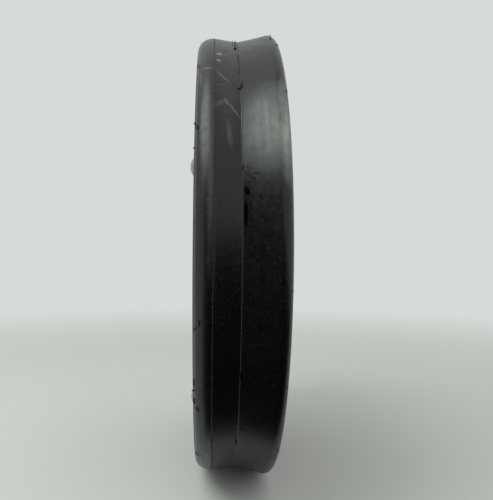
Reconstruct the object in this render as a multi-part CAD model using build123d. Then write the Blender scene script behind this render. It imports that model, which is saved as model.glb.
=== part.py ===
from build123d import *
from math import cos, radians
import os

# Planter gauge wheel: a hollow rubber tyre with a thin lip on the disc side, clamped
# between two ribbed nylon rim halves that also hold a sealed ball bearing.
# Millimetres. The axle runs along Y and +Z is up. Y = 0 is the valley of the tread.
# -Y is the outboard side with the bolt heads and the dust cap, +Y is the side that
# runs against the opener disc.

# Tyre
tyre_radius = 203.2  # to the top of the lip, a 16 in wheel
tyre_outboard = 32.3  # from the valley to the outboard sidewall
tyre_inboard = 33.3  # from the valley to the flat of the lip
valley_depth = 6.2  # below the top of the lip
crown_depth = 3.8
shoulder_width = 13.0  # the shoulder's rounding, along the axle and across it
shoulder_height = 10.0
lip_width = 7.1  # the lip's rounding
lip_height = 8.0
flank_dish = 0.3  # how far the flank is hollowed between valley and lip
sidewall_lean = 1.6
lip_face = 3.5  # flat of the lip that touches the disc
disc_side_relief = 5.5  # how far the wall below the lip stands back from the disc
relief_slope = 7.0
mould_line_height = 0.35
mould_line_width = 0.8
crown_wall = 13.0  # rubber between the air chamber and the tread
side_wall = 12.0
base_wall = 15.0
chamber_chamfer = 6.0

# Rim
seat_radius = 152.0  # a 12 in rim
flange_height = 8.0
flange_wall = 4.0
flange_edge = 2.5
flange_inset_outboard = 8.3  # from the tyre's sides to the flanges' tyre faces
flange_inset_inboard = 13.3
rim_wall = 4.5
mould_round = 2.5
split_y = -8.0  # plane in which the rim halves meet
rim_face_inset = 0.3  # outboard face of the rim, inside the tyre's sidewall
rim_face_width = 25.0
hub_step = 5.0  # hub face below the rim face
channel_depth = 12.0
channel_outer_slope = 10.0
channel_inner_slope = 7.0
hub_face_rim = 12.0  # hub face outside the bolt circle
hub_wall = 6.5
ring_cover = 2.5  # wall over the bearing's outer ring on the disc side
ring_shoulder = 1.2  # how far the end walls stand clear of the ring's bore
hub_pad_height = 2.0
rim_pad_height = 2.5
rib_wall = 3.5
rib_count = 16
rib_foot_height = 5.0  # rib above the web at the hub end and at the rim end
rib_head_height = 14.0
rib_ring_wall = 4.0

# Bolts that hold the halves together, 5/16 in carriage bolts with lock nuts
bolt_radius = 3.97
bolt_head_rim = 5.13  # head beyond the shank
bolt_head_height = 4.6
bolt_neck_step = 0.04  # square neck beyond the shank
bolt_neck_length = 3.6
bolt_tip = 1.0
bolt_count = 4
first_bolt_angle = 28.0  # from +X towards +Z
rim_bolt_inset = 11.2  # bolt circle inside the rim's seat
rim_bolt_stick_out = 3.45
hub_bolt_gap = 2.9  # between washer and hub
hub_bolt_stick_out = 2.65
rim_boss_wall = 0.9  # bosses beyond the washers
hub_boss_wall = 0.4
nut_wall = 2.38
nut_height = 8.3
nut_collar_height = 2.2
nut_collar_wall = 0.63
insert_wall = 1.0
washer_rim = 4.3
washer_wall = 1.65

# Bearing, 203 series with a wide inner ring
bore_radius = 8.14
bearing_radius = 20.0
outer_ring_width = 12.0
inner_ring_width = 18.3
inner_land_radius = 12.0
outer_land_radius = 16.3
ball_radius = 3.37
ball_count = 8
groove_slack = 0.1  # groove radius beyond the ball's
cage_land_gap = 1.15  # between cage and rings
cage_back = 4.2
cage_finger = 1.5
seal_plate_wall = 0.4
seal_lip_wall = 0.8
seal_recess_depth = 0.6
seal_lip_width = 1.1

# Dust cap
cap_wall = 1.4
cap_step = 2.5  # cap beyond the bearing
cap_depth = 8.0
cap_flange = 3.5
cap_height = 6.9  # top above the hub face
cap_round = 4.0
cap_draft = 1.0

# Clearances
seat_gap = 0.1  # between curved faces that sit on each other
press_gap = 0.025
bolt_gap = 0.15
washer_hole_gap = 0.33
running_gap = 0.1
tyre_flange_gap = 0.4
washer_gap = 0.5  # scallop in the rim wall round each washer
overlap = 1.0  # how far fused and cut shapes reach into each other

valley_radius = tyre_radius - valley_depth
crown_radius = tyre_radius - crown_depth
flange_radius = seat_radius + flange_height
rim_face_y = rim_face_inset - tyre_outboard
hub_face_y = rim_face_y + hub_step
channel_y = rim_face_y + channel_depth
seat_outboard = flange_inset_outboard - tyre_outboard
seat_inboard = tyre_inboard - flange_inset_inboard
web_y = split_y + rim_wall
hub_pad_y = web_y + hub_pad_height
rim_pad_y = web_y + rim_pad_height
drum_radius = seat_radius - rim_wall

washer_hole_radius = bolt_radius + washer_hole_gap
washer_radius = washer_hole_radius + washer_rim
bolt_head_radius = bolt_radius + bolt_head_rim
rim_bolt_circle = seat_radius - rim_bolt_inset
rim_boss_radius = washer_radius + rim_boss_wall
hub_boss_radius = washer_radius + hub_boss_wall

bearing_y = split_y
pocket_radius = bearing_radius + press_gap
hub_radius = pocket_radius + hub_wall
hub_bolt_circle = hub_radius + hub_bolt_gap + washer_radius
hub_face_radius = hub_bolt_circle + hub_face_rim
channel_inner_radius = hub_face_radius + channel_inner_slope
rim_face_inner_radius = seat_radius - rim_face_width
channel_outer_radius = rim_face_inner_radius - channel_outer_slope
cap_radius = bearing_radius + cap_step
cap_top_y = hub_face_y - cap_height
pitch_radius = (inner_land_radius + outer_land_radius) / 2
groove_round = ball_radius + groove_slack

rim_bolt_angles = [first_bolt_angle + 360 / bolt_count * i for i in range(bolt_count)]
hub_bolt_angles = [angle + 180 / bolt_count for angle in rim_bolt_angles]
rib_angles = [first_bolt_angle + 360 / rib_count * i for i in range(rib_count)]
ball_angles = [360 / ball_count * i for i in range(ball_count)]


def section(*points):
    """Flat section in the (radius, y) plane from its corners."""
    return make_face(Polyline(*points, close=True))


def turned(*points):
    return revolve(section(*points), Axis.Y)


def rounded(face, corners, radius):
    """Section with those (radius, y) corners rounded."""
    picked = [min(face.vertices(), key=lambda v: abs(v.X - r) + abs(v.Y - y)) for r, y in corners]
    return fillet(picked, radius)


def drum(radius, y_low, y_high, inner_radius=0.0):
    return turned((inner_radius, y_low), (radius, y_low), (radius, y_high), (inner_radius, y_high))


def around(piece, angles):
    """Copies of a piece built at angle 0, turned about the axle."""
    return [Rot(0, -angle, 0) * piece for angle in angles]


def group(pieces):
    """Separate solids that share one node."""
    return Compound([solid for piece in pieces for solid in piece.solids()])


def quarter(start, end):
    """Rounding between a point on a side face and a point on a top face, as an arc."""
    turn = cos(radians(45))
    middle = (start[0] + (end[0] - start[0]) * turn, end[1] + (start[1] - end[1]) * turn)
    return ThreePointArc(start, middle, end)


def mould_line(radius, y):
    """Corners of a fine raised line left where the mould's rings meet."""
    half = mould_line_width / 2
    return (radius, y + half), (radius + mould_line_height, y), (radius, y - half)


def make_tyre():
    valley = mould_line(valley_radius, 0)
    crown_y = shoulder_width - tyre_outboard
    crown = mould_line(crown_radius, crown_y + mould_line_width / 2)
    shoulder_end = (crown_radius - shoulder_height, -tyre_outboard)
    lip_top = (tyre_radius, tyre_inboard - lip_width)
    lip_outer = (tyre_radius - lip_height, tyre_inboard)
    lip_foot = lip_outer[0] - lip_face
    edge = flange_radius + tyre_flange_gap
    seat = seat_radius + seat_gap
    wall_y = tyre_inboard - disc_side_relief
    outline = [
        SagittaArc(valley[0], lip_top, flank_dish),
        quarter(lip_outer, lip_top),
        Polyline(
            lip_outer,
            (lip_foot, tyre_inboard),
            (lip_foot - relief_slope, wall_y),
            (edge + flange_wall, wall_y),
            (edge, seat_inboard + flange_wall - flange_edge),
            (edge, seat_inboard),
            (seat, seat_inboard),
            (seat, seat_outboard),
            (edge, seat_outboard),
            (edge, seat_outboard - flange_wall + flange_edge),
            (edge + flange_wall, -tyre_outboard + sidewall_lean),
            shoulder_end,
        ),
        quarter(shoulder_end, crown[2]),
        Polyline(crown[2], crown[1], crown[0], valley[2], valley[1], valley[0]),
    ]
    chamber_low, chamber_high = side_wall - tyre_outboard, wall_y - side_wall
    base = seat_radius + base_wall
    top = valley_radius - crown_wall
    chamber = section((base, chamber_low), (top, chamber_low), (top, chamber_high), (base, chamber_high))
    chamber = chamfer(chamber.vertices(), chamber_chamfer)
    return revolve(make_face(outline), Axis.Y) - revolve(chamber, Axis.Y)


def bolt_holes(circle, angles, head_y):
    """Round holes with the square recess that stops a carriage bolt turning."""
    hole = Pos(circle, 0, 0) * drum(bolt_radius + bolt_gap, rim_face_y - overlap, rim_pad_y + overlap)
    side = 2 * (bolt_radius + bolt_neck_step + bolt_gap)
    neck = Pos(circle, head_y + bolt_neck_length / 2, 0) * Box(side, bolt_neck_length, side)
    return around(hole + neck, angles)


def pads(circle, radius, y_low, y_high, angles):
    return around(Pos(circle, 0, 0) * drum(radius, y_low, y_high), angles)


def radial_rib(inner, outer, foot_y, inner_y, outer_y):
    """Flat rib on the web, with a straight top from the hub end to the rim end."""
    side = section((inner, foot_y), (outer, foot_y), (outer, outer_y), (inner, inner_y))
    return extrude(side, rib_wall / 2, both=True)


def make_outer_half():
    pocket_end = bearing_y - outer_ring_width / 2
    cap_seat = hub_face_y + cap_depth + cap_wall
    cap_bore = cap_radius + seat_gap / 2
    way_in = outer_land_radius + ring_shoulder
    slack = rim_wall / 2
    side = section(
        (pocket_radius, split_y),
        (pocket_radius, pocket_end),
        (way_in, pocket_end),
        (way_in, cap_seat),
        (cap_bore, cap_seat),
        (cap_bore, hub_face_y),
        (hub_face_radius, hub_face_y),
        (channel_inner_radius, channel_y),
        (channel_outer_radius, channel_y),
        (rim_face_inner_radius, rim_face_y),
        (seat_radius, rim_face_y),
        (flange_radius, seat_outboard - flange_wall),
        (flange_radius, seat_outboard),
        (seat_radius, seat_outboard),
        (seat_radius, split_y),
        (drum_radius, split_y),
        (drum_radius, rim_face_y + rim_wall),
        (rim_face_inner_radius + slack, rim_face_y + rim_wall),
        (channel_outer_radius + slack, channel_y + rim_wall),
        (channel_inner_radius - slack, channel_y + rim_wall),
        (hub_face_radius - slack, hub_face_y + rim_wall),
        (hub_radius, hub_face_y + rim_wall),
        (hub_radius, split_y),
    )
    corners = [
        (hub_face_radius, hub_face_y),
        (channel_inner_radius, channel_y),
        (channel_outer_radius, channel_y),
        (rim_face_inner_radius, rim_face_y),
        (seat_radius, rim_face_y),
    ]
    shell = revolve(rounded(side, corners, mould_round), Axis.Y)
    rib_top = channel_y + overlap
    ribs = around(
        radial_rib(channel_inner_radius, drum_radius + overlap, split_y, rib_top, rib_top), rib_angles[1::2]
    )
    rim_bosses = pads(rim_bolt_circle, rim_boss_radius, rim_face_y + overlap, split_y, rim_bolt_angles)
    hub_bosses = pads(hub_bolt_circle, hub_boss_radius, hub_face_y + overlap, split_y, hub_bolt_angles)
    half = shell + ribs + rim_bosses + hub_bosses
    half -= bolt_holes(rim_bolt_circle, rim_bolt_angles, rim_face_y)
    half -= bolt_holes(hub_bolt_circle, hub_bolt_angles, hub_face_y)
    return half


def make_inner_half():
    pocket_end = bearing_y + outer_ring_width / 2
    flange_y = seat_inboard + flange_wall
    foot_y = web_y + rib_foot_height
    way_in = outer_land_radius + ring_shoulder
    shell = turned(
        (pocket_radius, split_y),
        (seat_radius, split_y),
        (seat_radius, seat_inboard),
        (flange_radius, seat_inboard),
        (flange_radius, flange_y - flange_edge),
        (flange_radius - flange_edge, flange_y),
        (drum_radius, flange_y),
        (drum_radius, web_y),
        (hub_face_radius + rib_ring_wall, web_y),
        (hub_face_radius + rib_ring_wall, foot_y),
        (hub_face_radius, foot_y),
        (hub_face_radius, hub_pad_y),
        (hub_radius, hub_pad_y),
        (hub_radius, pocket_end + ring_cover),
        (way_in, pocket_end + ring_cover),
        (way_in, pocket_end),
        (pocket_radius, pocket_end),
    )
    head_y = web_y + rib_head_height
    rib = radial_rib(hub_face_radius + overlap, drum_radius + overlap, split_y + overlap, foot_y, head_y)
    short_rib = rib & drum(rim_bolt_circle - rim_boss_radius, split_y, head_y)
    ribs = [
        Rot(0, -angle, 0) * (short_rib if angle in rim_bolt_angles else rib) for angle in rib_angles
    ]
    rim_pads = pads(rim_bolt_circle, rim_boss_radius, split_y, rim_pad_y, rim_bolt_angles)
    half = shell + ribs + rim_pads
    half -= pads(
        rim_bolt_circle, washer_radius + washer_gap, rim_pad_y, flange_y + overlap, rim_bolt_angles
    )
    half -= bolt_holes(rim_bolt_circle, rim_bolt_angles, rim_face_y)
    half -= bolt_holes(hub_bolt_circle, hub_bolt_angles, rim_face_y)
    return half


def carriage_bolt(circle, head_y, length):
    """Round dome head, square neck and plain shank, pointing to +Y."""
    crown_y = head_y - bolt_head_height
    dome_round = (bolt_head_radius**2 + bolt_head_height**2) / (2 * bolt_head_height)
    end_y = head_y + length
    half_section = [
        RadiusArc((bolt_head_radius, head_y), (0, crown_y), dome_round),
        Polyline(
            (0, crown_y),
            (0, end_y),
            (bolt_radius - bolt_tip, end_y),
            (bolt_radius, end_y - bolt_tip),
            (bolt_radius, head_y),
            (bolt_head_radius, head_y),
        ),
    ]
    side = 2 * (bolt_radius + bolt_neck_step)
    reach = bolt_head_height / 2  # the neck starts inside the head
    neck = Pos(0, head_y + (bolt_neck_length - reach) / 2, 0) * Box(side, bolt_neck_length + reach, side)
    return Pos(circle, 0, 0) * (revolve(make_face(half_section), Axis.Y) + neck)


def washer(circle, seat_y):
    return Pos(circle, 0, 0) * drum(washer_radius, seat_y, seat_y + washer_wall, washer_hole_radius)


def lock_nut(circle, seat_y):
    """Hexagon with a collar that holds a nylon ring."""
    top_y = seat_y + nut_height
    collar_y = top_y - nut_collar_height
    insert_radius = bolt_radius + insert_wall
    hexagon = RegularPolygon(bolt_radius + nut_wall, 6, major_radius=False)
    body = Pos(0, seat_y, 0) * Rot(-90, 0, 0) * extrude(hexagon, collar_y - seat_y)
    body += drum(insert_radius + nut_collar_wall, collar_y - overlap, top_y)
    body -= drum(bolt_radius + seat_gap / 2, seat_y - overlap, collar_y)
    body -= drum(insert_radius, collar_y, top_y + overlap)
    return Pos(circle, 0, 0) * body


def nut_insert(circle, seat_y):
    top_y = seat_y + nut_height
    radius = bolt_radius + insert_wall - seat_gap / 2
    return Pos(circle, 0, 0) * drum(radius, top_y - nut_collar_height, top_y, bolt_radius + seat_gap / 2)


def groove():
    return revolve(Pos(pitch_radius, bearing_y) * Circle(groove_round), Axis.Y)


def make_outer_ring():
    half = outer_ring_width / 2
    recess = seal_plate_wall + seal_lip_wall
    deep = outer_land_radius + seal_recess_depth
    ring = turned(
        (bearing_radius, bearing_y - half),
        (bearing_radius, bearing_y + half),
        (deep, bearing_y + half),
        (deep, bearing_y + half - recess),
        (outer_land_radius, bearing_y + half - recess),
        (outer_land_radius, bearing_y - half + recess),
        (deep, bearing_y - half + recess),
        (deep, bearing_y - half),
    )
    return ring - groove()


def make_inner_ring():
    half = inner_ring_width / 2
    return drum(inner_land_radius, bearing_y - half, bearing_y + half, bore_radius) - groove()


def make_cage():
    """One-piece crown cage: the open side lets the balls snap in."""
    low, high = inner_land_radius + cage_land_gap, outer_land_radius - cage_land_gap
    ring = drum(high, bearing_y - cage_back, bearing_y + cage_finger, low)
    pocket = Pos(pitch_radius, bearing_y, 0) * Rot(0, 90, 0) * Cylinder(ball_radius + running_gap, ball_radius * 2)
    return ring - around(pocket, ball_angles)


def seal(side):
    """Steel plate and rubber lip of one seal. side is -1 outboard, 1 inboard."""
    face = bearing_y + side * outer_ring_width / 2
    joint = face - side * seal_plate_wall
    back = joint - side * seal_lip_wall
    deep = outer_land_radius + seal_recess_depth - seat_gap / 2
    plate = drum(deep, min(face, joint), max(face, joint), inner_land_radius + seal_lip_width)
    lip = drum(deep, min(joint, back), max(joint, back), inner_land_radius + running_gap)
    return plate, lip


def make_dust_cap():
    crown = cap_radius - cap_round
    return turned(
        (cap_radius, hub_face_y + cap_depth),
        (cap_radius, hub_face_y),
        (cap_radius + cap_flange, hub_face_y),
        (cap_radius + cap_flange, hub_face_y - cap_wall),
        (cap_radius, hub_face_y - cap_wall),
        (cap_radius - cap_draft, cap_top_y + cap_round),
        (crown, cap_top_y),
        (0, cap_top_y),
        (0, cap_top_y + cap_wall),
        (crown - cap_wall / 2, cap_top_y + cap_wall),
        (cap_radius - cap_draft - cap_wall, cap_top_y + cap_round + cap_wall / 2),
        (cap_radius - cap_wall, hub_face_y + cap_depth),
    )


def bolted(name, circle, angles, head_y, nut_y, stick_out):
    """The four nodes of one ring of fasteners."""
    nut_seat = nut_y + washer_wall
    length = nut_seat + nut_height + stick_out - head_y
    return {
        name + "_bolts": group(around(carriage_bolt(circle, head_y, length), angles)),
        name + "_washers": group(around(washer(circle, nut_y), angles)),
        name + "_nuts": group(around(lock_nut(circle, nut_seat), angles)),
        name + "_nut_inserts": group(around(nut_insert(circle, nut_seat), angles)),
    }


outboard_plate, outboard_lip = seal(-1)
inboard_plate, inboard_lip = seal(1)
ball = Pos(pitch_radius, bearing_y, 0) * Sphere(ball_radius)

nodes = {
    "tyre": make_tyre(),
    "outer_rim_half": make_outer_half(),
    "inner_rim_half": make_inner_half(),
    **bolted("rim", rim_bolt_circle, rim_bolt_angles, rim_face_y, rim_pad_y, rim_bolt_stick_out),
    **bolted("hub", hub_bolt_circle, hub_bolt_angles, hub_face_y, hub_pad_y, hub_bolt_stick_out),
    "dust_cap": make_dust_cap(),
    "bearing_outer_ring": make_outer_ring(),
    "bearing_inner_ring": make_inner_ring(),
    "bearing_balls": group(around(ball, ball_angles)),
    "bearing_cage": make_cage(),
    "outboard_seal_plate": outboard_plate,
    "outboard_seal_lip": outboard_lip,
    "inboard_seal_plate": inboard_plate,
    "inboard_seal_lip": inboard_lip,
}

os.makedirs("parts", exist_ok=True)
for name, shape in nodes.items():
    export_step(shape, f"parts/{name}.step")
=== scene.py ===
import math
import bmesh
import bpy
from mathutils import Matrix, Vector


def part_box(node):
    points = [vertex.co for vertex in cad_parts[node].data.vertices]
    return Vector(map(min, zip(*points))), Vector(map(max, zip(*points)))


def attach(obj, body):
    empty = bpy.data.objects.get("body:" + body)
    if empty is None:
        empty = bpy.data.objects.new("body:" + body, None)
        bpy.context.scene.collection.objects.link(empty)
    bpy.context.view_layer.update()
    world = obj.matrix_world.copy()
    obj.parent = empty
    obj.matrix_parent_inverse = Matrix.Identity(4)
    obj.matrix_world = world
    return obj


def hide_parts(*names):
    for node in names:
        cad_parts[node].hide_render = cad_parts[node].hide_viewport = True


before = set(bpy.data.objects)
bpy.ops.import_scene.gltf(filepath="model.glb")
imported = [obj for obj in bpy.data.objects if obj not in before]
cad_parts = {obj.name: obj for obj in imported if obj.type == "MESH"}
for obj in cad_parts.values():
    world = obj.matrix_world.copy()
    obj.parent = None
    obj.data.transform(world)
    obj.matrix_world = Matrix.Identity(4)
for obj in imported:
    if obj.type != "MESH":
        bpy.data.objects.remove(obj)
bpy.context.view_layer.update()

# Gauge wheel, seen edge-on: axle along Y, lip and opener disc side at +Y, +Z up.
# Sizes in the dictionaries are millimetres and degrees unless a comment says otherwise.
# Angles run round the axle from +X (towards the camera) up towards +Z.

mm = 0.001


def linear(hexColour, alpha=1.0):
    # sRGB hex to the linear values that the shaders take
    channels = [int(hexColour[i:i + 2], 16) / 255 for i in (1, 3, 5)]
    return tuple(c / 12.92 if c <= 0.04045 else ((c + 0.055) / 1.055) ** 2.4 for c in channels) + (alpha,)


def addNode(tree, kind, settings=None, links=None):
    # one node with its settings (sockets or properties) and what feeds it
    node = tree.nodes.new(kind)
    for key, value in (settings or {}).items():
        if isinstance(key, int) or key in node.inputs:
            node.inputs[key].default_value = value
        else:
            setattr(node, key, value)
    for key, socket in (links or {}).items():
        tree.links.new(socket, node.inputs[key])
    return node


def startMaterial(name, look):
    material = bpy.data.materials.new(name)
    material.use_nodes = True
    tree = material.node_tree
    shader = tree.nodes["Principled BSDF"]
    shader.inputs["Base Color"].default_value = linear(look["colour"])
    for key in ("Metallic", "Roughness", "IOR"):
        if key in look:
            shader.inputs[key].default_value = look[key]
    place = addNode(tree, "ShaderNodeTexCoord").outputs["Object"]
    return material, tree, shader, place


def patchMask(tree, place, patch):
    # where a patch of dirt, wear or shine lies: noise this many mm wide, cut to a range
    if "mapping" in patch:
        place = addNode(tree, "ShaderNodeMapping", patch["mapping"], {"Vector": place}).outputs[0]
    noise = addNode(tree, "ShaderNodeTexNoise", {
        "Scale": 1 / (patch["size"] * mm),
        "Detail": patch.get("detail", 4.0), "Roughness": patch.get("broken", 0.5),
    }, {"Vector": place})
    low, high = patch["between"]
    least, most = patch.get("gives", (0.0, 1.0))
    return addNode(tree, "ShaderNodeMapRange", {
        "From Min": low, "From Max": high, "To Min": least, "To Max": most,
    }, {"Value": noise.outputs["Fac"]}).outputs[0]


def layColours(tree, shader, baseColour, layers):
    # each (mask, colour) covers what lies under it
    settings, links = {"data_type": "RGBA", 6: linear(baseColour)}, {}
    for mask, colour in layers:
        top = addNode(tree, "ShaderNodeMix", {**settings, 7: linear(colour)}, {**links, 0: mask}).outputs[2]
        settings, links = {"data_type": "RGBA"}, {6: top}
    tree.links.new(top, shader.inputs["Base Color"])


def layPatches(tree, shader, place, look):
    # the look's own patches in their order, over its base colour
    masks = [patchMask(tree, place, patch) for patch in look["patches"]]
    layColours(tree, shader, look["colour"], zip(masks, (patch["colour"] for patch in look["patches"])))
    return masks


def stackRelief(tree, shader, layers):
    # relief of (height, depth in mm), the finest first
    links = {}
    for height, depth in layers:
        relief = addNode(tree, "ShaderNodeBump", {"Strength": 1.0, "Distance": depth * mm}, {
            "Height": height, **links,
        }).outputs[0]
        links = {"Normal": relief}
    tree.links.new(relief, shader.inputs["Normal"])


def roundAxle(tree, place):
    # angle round the axle in radians, distance from it and place along it in metres
    axes = addNode(tree, "ShaderNodeSeparateXYZ", {}, {0: place})
    turn = addNode(tree, "ShaderNodeMath", {"operation": "ARCTAN2"}, {
        0: axes.outputs["Z"], 1: axes.outputs["X"],
    })
    flat = addNode(tree, "ShaderNodeVectorMath", {"operation": "MULTIPLY", 1: (1, 0, 1)}, {0: place})
    fromAxle = addNode(tree, "ShaderNodeVectorMath", {"operation": "LENGTH"}, {0: flat.outputs[0]})
    return turn.outputs[0], fromAxle.outputs["Value"], axes.outputs["Y"]


def addObject(name, mesh, material, body, replaced=()):
    piece = bpy.data.objects.new(name, mesh)
    bpy.context.scene.collection.objects.link(piece)
    piece.data.materials.append(material)
    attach(piece, body)
    if replaced:
        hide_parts(*replaced)


def smoothMesh(name, points, faces, sharpAngle=None, weld=None):
    mesh = bpy.data.meshes.new(name)
    mesh.from_pydata(points, [], faces)
    mesh.validate()
    if weld:
        # joins the points where a ring closes on itself
        shapeMesh = bmesh.new()
        shapeMesh.from_mesh(mesh)
        bmesh.ops.remove_doubles(shapeMesh, verts=shapeMesh.verts, dist=weld * mm)
        bmesh.ops.recalc_face_normals(shapeMesh, faces=shapeMesh.faces)
        shapeMesh.to_mesh(mesh)
        shapeMesh.free()
    mesh.polygons.foreach_set("use_smooth", [True] * len(mesh.polygons))
    if sharpAngle:
        mesh.set_sharp_from_angle(angle=math.radians(sharpAngle))
    mesh.update()
    return mesh


def turnedMesh(name, outline, steps, sharpAngle=30):
    # closed outline of (radius, y) in mm, turned about the axle
    count = len(outline)
    points, faces = [], []
    for step in range(steps):
        angle = 2 * math.pi * step / steps
        for radius, y in outline:
            points.append((radius * mm * math.cos(angle), y * mm, radius * mm * math.sin(angle)))
        here, there = step * count, (step + 1) % steps * count
        for i in range(count):
            j = (i + 1) % count
            faces.append((here + i, here + j, there + j, there + i))
    return smoothMesh(name, points, faces, sharpAngle)


roundingLimits = {"share": 0.45, "least": 0.05}  # the most of a side that it takes; mm


def roundedLine(corners, count=5):
    # an open line of (radius, y, rounding) whose inner corners are rounded
    points = [corners[0][:2]]
    for before, here, after in zip(corners, corners[1:], corners[2:]):
        a, b, c = Vector(before[:2]), Vector(here[:2]), Vector(after[:2])
        cut = min(here[2], *((side - b).length * roundingLimits["share"] for side in (a, c)))
        if cut < roundingLimits["least"]:
            points.append(tuple(b))
            continue
        first, last = b + (a - b).normalized() * cut, b + (c - b).normalized() * cut
        for i in range(count):
            t = i / (count - 1)
            points.append(tuple(first * (1 - t) ** 2 + b * 2 * t * (1 - t) + last * t ** 2))
    points.append(corners[-1][:2])
    return points


# Camera, fitted to the outline of the tyre
cameraSettings = {
    "place": (0.550, -0.01976, 0.0), "near": 0.01,  # metres
    "yaw": 0.06256, "pitch": 0.0068, "roll": 0.00704,  # radians
    "lens": 39.8, "sensor": 36.0,  # mm
}
forward = Vector((
    -math.cos(cameraSettings["yaw"]) * math.cos(cameraSettings["pitch"]),
    math.sin(cameraSettings["yaw"]) * math.cos(cameraSettings["pitch"]),
    math.sin(cameraSettings["pitch"]),
))
right = forward.cross(Vector((0, 0, 1))).normalized()
up = right.cross(forward)
rolledRight = right * math.cos(cameraSettings["roll"]) + up * math.sin(cameraSettings["roll"])
rolledUp = rolledRight.cross(forward)
cameraData = bpy.data.cameras.new("camera")
cameraData.lens = cameraSettings["lens"]
cameraData.sensor_fit = "VERTICAL"
cameraData.sensor_height = cameraSettings["sensor"]
cameraData.clip_start = cameraSettings["near"]
camera = bpy.data.objects.new("camera", cameraData)
pose = Matrix((rolledRight, rolledUp, -forward)).transposed().to_4x4()
pose.translation = Vector(cameraSettings["place"])
camera.matrix_world = pose
bpy.context.scene.collection.objects.link(camera)
bpy.context.scene.camera = camera
bpy.context.scene.view_settings.view_transform = "Standard"
print("camera ready")


# Studio: a pale floor that fades into the backdrop, one broad softbox overhead, and
# black cards round and behind the camera that only reflections see. Sizes are metres
studio = {
    "floorColour": "#dcdfda", "backdrop": "#d6dbd7",
    "floorRadius": 6.0, "floorSteps": 96,
    "fadeStart": 0.5, "fadeEnd": 1.6,  # from the axle's foot
    "fill": "#eef0ee", "fillStrength": 0.72,
    "cardColour": "#030303", "cardLift": 0.004,
}
softboxOverhead = {
    "place": (0.55, -0.7, 1.0), "target": (0.55, -0.7, 0.0), "size": (0.96, 0.88),
    "radiance": 3.5, "colour": "#f1fbf5",
}
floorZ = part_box("tyre")[0][2]
cardZ = floorZ + studio["cardLift"]
blackCards = {
    "floorCard": [
        (0.135, -0.04, cardZ), (0.3, -0.16, cardZ), (0.6, -0.42, cardZ),
        (2.6, -2.0, cardZ), (2.6, 1.6, cardZ), (0.135, 0.6, cardZ),
    ],
    "frontCard": [
        (2.6, -2.0, floorZ), (2.6, 1.4, floorZ), (2.6, 1.4, 0.38),
        (2.6, -0.1, 0.5), (2.6, -0.6, 0.95), (2.6, -2.0, 0.95),
    ],
    "overheadCard": [(1.45, -0.35, 1.05), (3.2, -0.35, 1.05), (3.2, -2.0, 1.05), (1.45, -2.0, 1.05)],
}


def stagePlane(name, corners, material):
    mesh = bpy.data.meshes.new(name)
    mesh.from_pydata(corners, [], [tuple(range(len(corners)))])
    plane = bpy.data.objects.new(name, mesh)
    mesh.materials.append(material)
    bpy.context.scene.collection.objects.link(plane)
    return plane


def blackCard(name, corners):
    card = stagePlane(name, corners, cardMaterial)
    card.visible_camera = False
    card.visible_diffuse = False
    card.visible_shadow = False
    card.visible_transmission = False
    card.visible_volume_scatter = False


def seenRays(tree):
    # 1 for rays that see a surface, 0 for those that gather light from it
    ray = addNode(tree, "ShaderNodeLightPath")
    seen = addNode(tree, "ShaderNodeMath", {"operation": "MAXIMUM"}, {
        0: ray.outputs["Is Camera Ray"], 1: ray.outputs["Is Glossy Ray"],
    })
    return addNode(tree, "ShaderNodeMath", {"operation": "MAXIMUM"}, {
        0: seen.outputs[0], 1: ray.outputs["Is Transmission Ray"],
    }).outputs[0]


floorLook = {"colour": studio["floorColour"], "Roughness": 0.9, "IOR": 1.4}
floorMaterial, tree, shader, place = startMaterial("paintedFloor", floorLook)
flat = addNode(tree, "ShaderNodeVectorMath", {"operation": "MULTIPLY", 1: (1, 1, 0)}, {0: place})
distance = addNode(tree, "ShaderNodeVectorMath", {"operation": "LENGTH"}, {0: flat.outputs[0]})
fade = addNode(tree, "ShaderNodeMapRange", {
    "interpolation_type": "SMOOTHSTEP", "From Min": studio["fadeStart"], "From Max": studio["fadeEnd"],
}, {"Value": distance.outputs["Value"]})
fadeSeen = addNode(tree, "ShaderNodeMath", {"operation": "MULTIPLY"}, {0: fade.outputs[0], 1: seenRays(tree)})
backdropGlow = addNode(tree, "ShaderNodeEmission", {"Color": linear(studio["backdrop"])})
floorMix = addNode(tree, "ShaderNodeMixShader", {}, {
    0: fadeSeen.outputs[0], 1: shader.outputs[0], 2: backdropGlow.outputs[0],
})
tree.links.new(floorMix.outputs[0], tree.nodes["Material Output"].inputs["Surface"])
floorAngles = [2 * math.pi * i / studio["floorSteps"] for i in range(studio["floorSteps"])]
stagePlane("floor", [
    (studio["floorRadius"] * math.cos(a), studio["floorRadius"] * math.sin(a), floorZ) for a in floorAngles
], floorMaterial)

cardLook = {"colour": studio["cardColour"], "Roughness": 1.0, "IOR": 1.0}
cardMaterial, tree, shader, place = startMaterial("blackCard", cardLook)
for cardName, corners in blackCards.items():
    blackCard(cardName, corners)

world = bpy.data.worlds.new("studio")
bpy.context.scene.world = world
world.use_nodes = True
tree = world.node_tree
fillLight = tree.nodes["Background"]
fillLight.inputs["Color"].default_value = linear(studio["fill"])
fillLight.inputs["Strength"].default_value = studio["fillStrength"]
backdrop = addNode(tree, "ShaderNodeBackground", {"Color": linear(studio["backdrop"]), "Strength": 1.0})
worldMix = addNode(tree, "ShaderNodeMixShader", {}, {
    0: seenRays(tree), 1: fillLight.outputs[0], 2: backdrop.outputs[0],
})
tree.links.new(worldMix.outputs[0], tree.nodes["World Output"].inputs["Surface"])


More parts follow.
